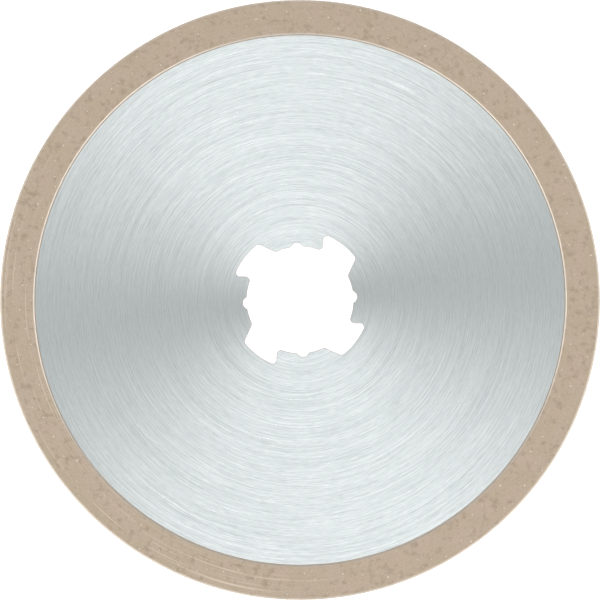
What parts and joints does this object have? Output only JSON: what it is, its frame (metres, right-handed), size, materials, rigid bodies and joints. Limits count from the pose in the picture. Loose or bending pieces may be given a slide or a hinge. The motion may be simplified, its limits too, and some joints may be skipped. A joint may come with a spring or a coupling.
{
  "type": "diamond blade",
  "caption": "Flat round cutting blade: thin steel core with a sintered continuous diamond rim and a tabbed quick-change bore.",
  "frame": {"origin": "centre of the bore, halfway through the blade's thickness", "axes": "+Z along the spin axis, towards the upper face; +X and +Y in the plane of the blade, with the sloping flank of a bore pocket leaving the bore at 27 degrees from +X"},
  "size_m": [0.125, 0.125, 0.0016],
  "materials": {
    "core_steel": "bright steel, brushed in circles round the bore",
    "rim_bond": "matt sintered bronze bond, ground flat, tan brown with darker specks",
    "diamond": "pale yellow diamond crystals, ground flush"
  },
  "bodies": {
    "root": {"steel_core": "core_steel", "diamond_rim": "rim_bond", "upper_face_grit": "diamond", "lower_face_grit": "diamond", "cutting_edge_grit": "diamond"}
  },
  "joints": []
}
